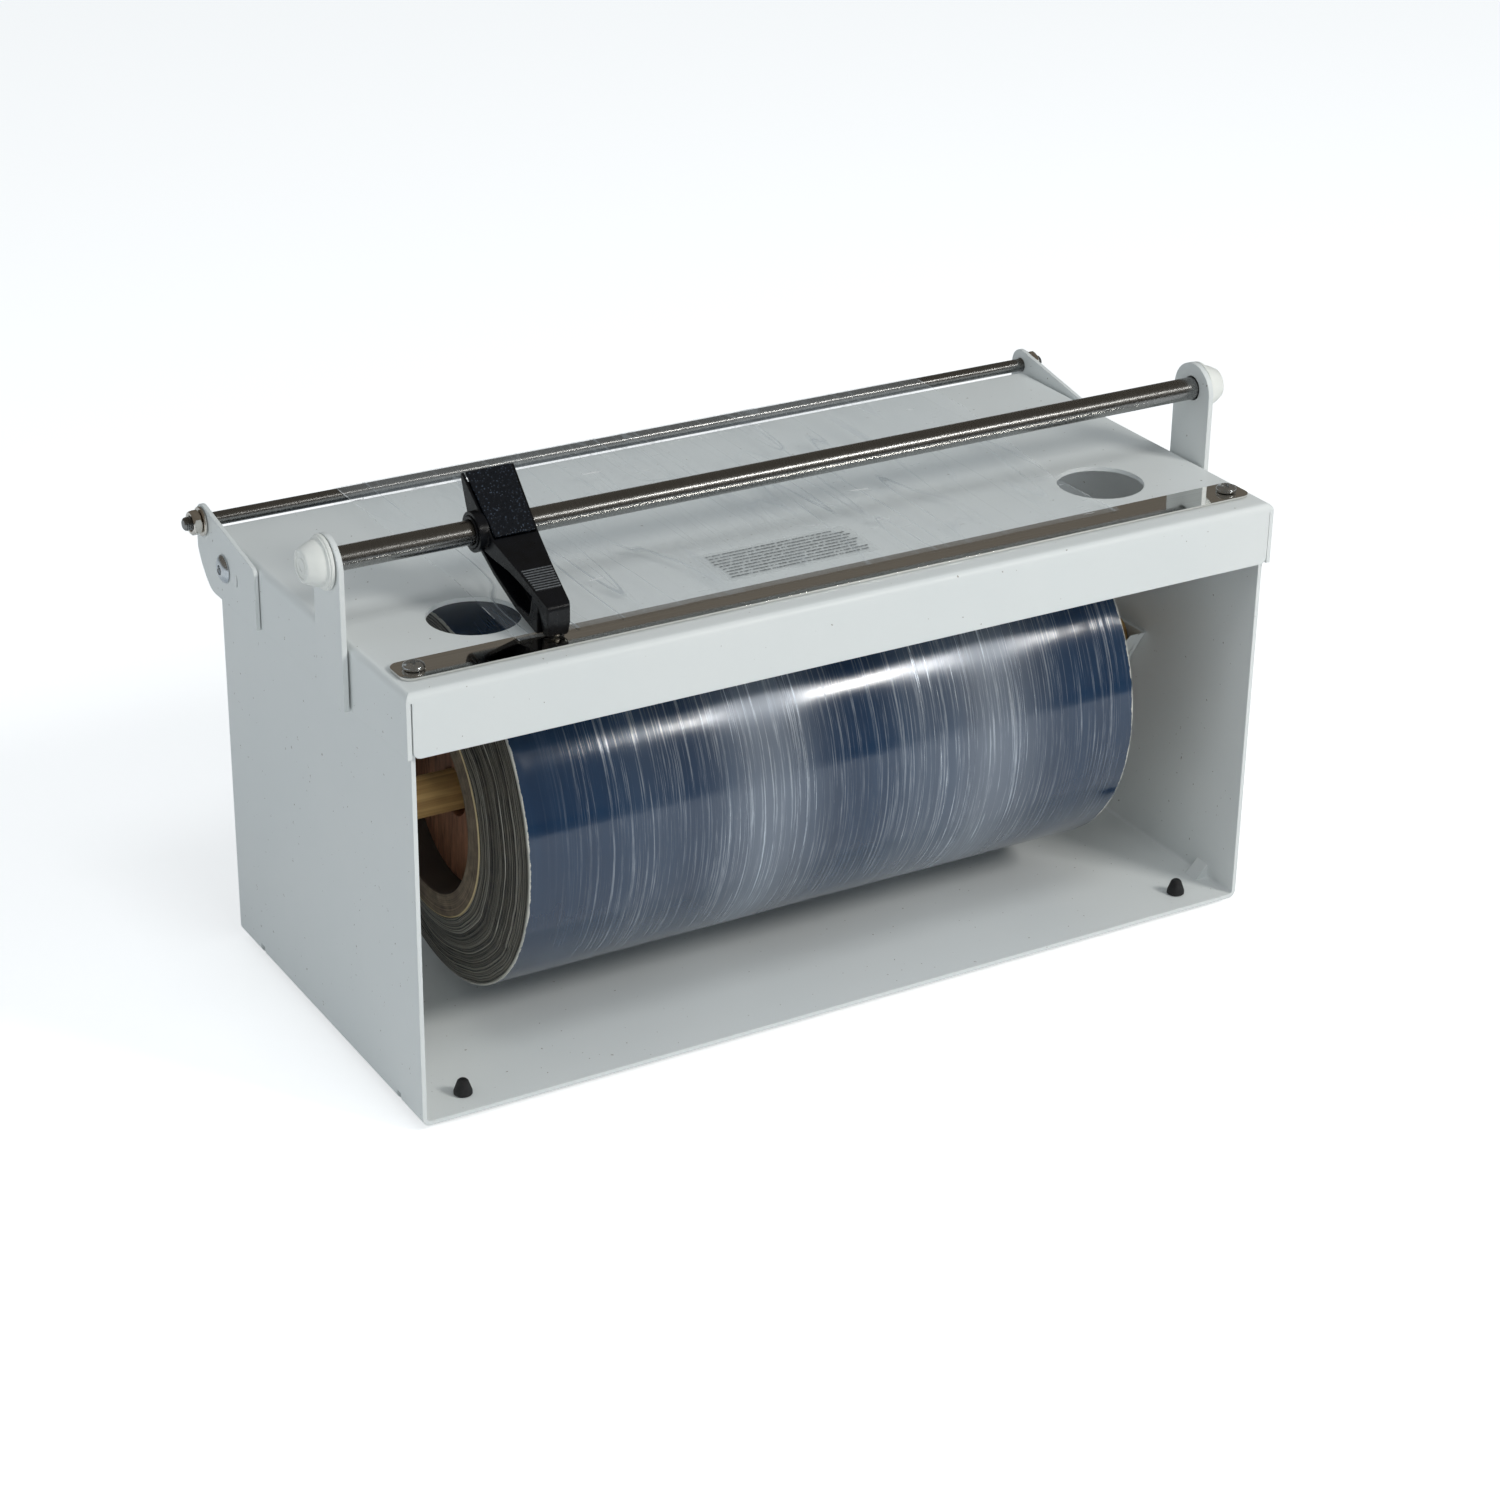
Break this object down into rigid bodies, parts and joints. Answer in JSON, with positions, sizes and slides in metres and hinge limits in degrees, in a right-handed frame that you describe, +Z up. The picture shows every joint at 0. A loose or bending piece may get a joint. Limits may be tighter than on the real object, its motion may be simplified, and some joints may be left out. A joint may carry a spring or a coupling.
{
  "type": "cling film dispenser",
  "caption": "Countertop cling film dispenser: white folded-steel housing, film roll on a wooden shaft, rear guide rod, and a cutter that slides and flips on a rail over a polished strip.",
  "frame": {"origin": "centre of the bounding box's footprint, on the surface the rubber feet stand on", "axes": "+X along the cutter rail towards the right-hand end, +Y from the cutting strip towards the guide rod, +Z up"},
  "size_m": [0.4438, 0.205, 0.2515],
  "materials": {
    "white_paint": "semi-gloss white powder coat",
    "white_plastic": "satin white moulded plastic",
    "black_plastic": "fine-grained black moulding with a glossy nose",
    "black_rubber": "matt black rubber",
    "brushed_steel": "bright drawn stainless bar",
    "polished_steel": "mirror-polished stainless",
    "zinc_plate": "bright zinc plate",
    "blue_film": "glossy wound blue-tinted film with fine pale winding lines",
    "clear_film": "clear stretch film with wrinkles",
    "cardboard": "grey-brown spiral-wound paperboard",
    "plug_wood": "raw reddish wood",
    "dowel_wood": "golden hardwood dowel",
    "label_paper": "satin sticker with plain grey dashes"
  },
  "bodies": {
    "root": {"base_shell": "white_paint", "top_cover": "white_paint", "rail_ear_left": "white_paint", "rail_ear_right": "white_paint", "guide_bracket_left": "white_paint", "guide_bracket_right": "white_paint", "bracket_screw_left": "zinc_plate", "bracket_screw_right": "zinc_plate", "bracket_nut_left": "zinc_plate", "bracket_nut_right": "zinc_plate", "rubber_foot_front_left": "black_rubber", "rubber_foot_rear_left": "black_rubber", "rubber_foot_front_right": "black_rubber", "rubber_foot_rear_right": "black_rubber", "cutting_strip": "polished_steel", "strip_screw_left": "zinc_plate", "strip_nut_left": "zinc_plate", "strip_screw_right": "zinc_plate", "strip_nut_right": "zinc_plate", "guide_rod": "brushed_steel", "guide_washer_left": "zinc_plate", "guide_nut_left": "zinc_plate", "guide_washer_right": "zinc_plate", "guide_nut_right": "zinc_plate", "shaft_cradle_left": "white_paint", "shaft_cradle_right": "white_paint", "film_web": "clear_film", "instruction_label": "label_paper"},
    "rail": {"cutter_rail": "brushed_steel", "rail_cap_left": "white_plastic", "rail_cap_right": "white_plastic"},
    "slider": {"cutter_bush": "black_plastic"},
    "cutter": {"cutter_body": "black_plastic", "cutter_grip_pad": "black_plastic", "cutter_blade": "polished_steel", "cutter_glide": "polished_steel"},
    "shaft": {"roll_shaft": "dowel_wood"},
    "roll": {"film_roll": "blue_film", "cardboard_core": "cardboard", "core_plug_left": "plug_wood", "core_plug_right": "plug_wood"}
  },
  "joints": [
    {"name": "rail_spin", "type": "hinge", "parent": "root", "child": "rail", "pos_m": [0, -0.0377, 0.2303], "axis": [1, 0, 0], "continuous": true},
    {"name": "cutter_slide", "type": "slide", "parent": "root", "child": "slider", "axis": [1, 0, 0], "range_m": [-0.05, 0.318]},
    {"name": "cutter_lift", "type": "hinge", "parent": "slider", "child": "cutter", "pos_m": [-0.134, -0.0377, 0.2303], "axis": [-1, 0, 0], "range_deg": [0, 225]},
    {"name": "shaft_lift", "type": "slide", "parent": "root", "child": "shaft", "axis": [0, 0, 1], "range_m": [0, 0.006]},
    {"name": "roll_spin", "type": "hinge", "parent": "shaft", "child": "roll", "pos_m": [0, -0.0052, 0.0992], "axis": [1, 0, 0], "continuous": true}
  ]
}
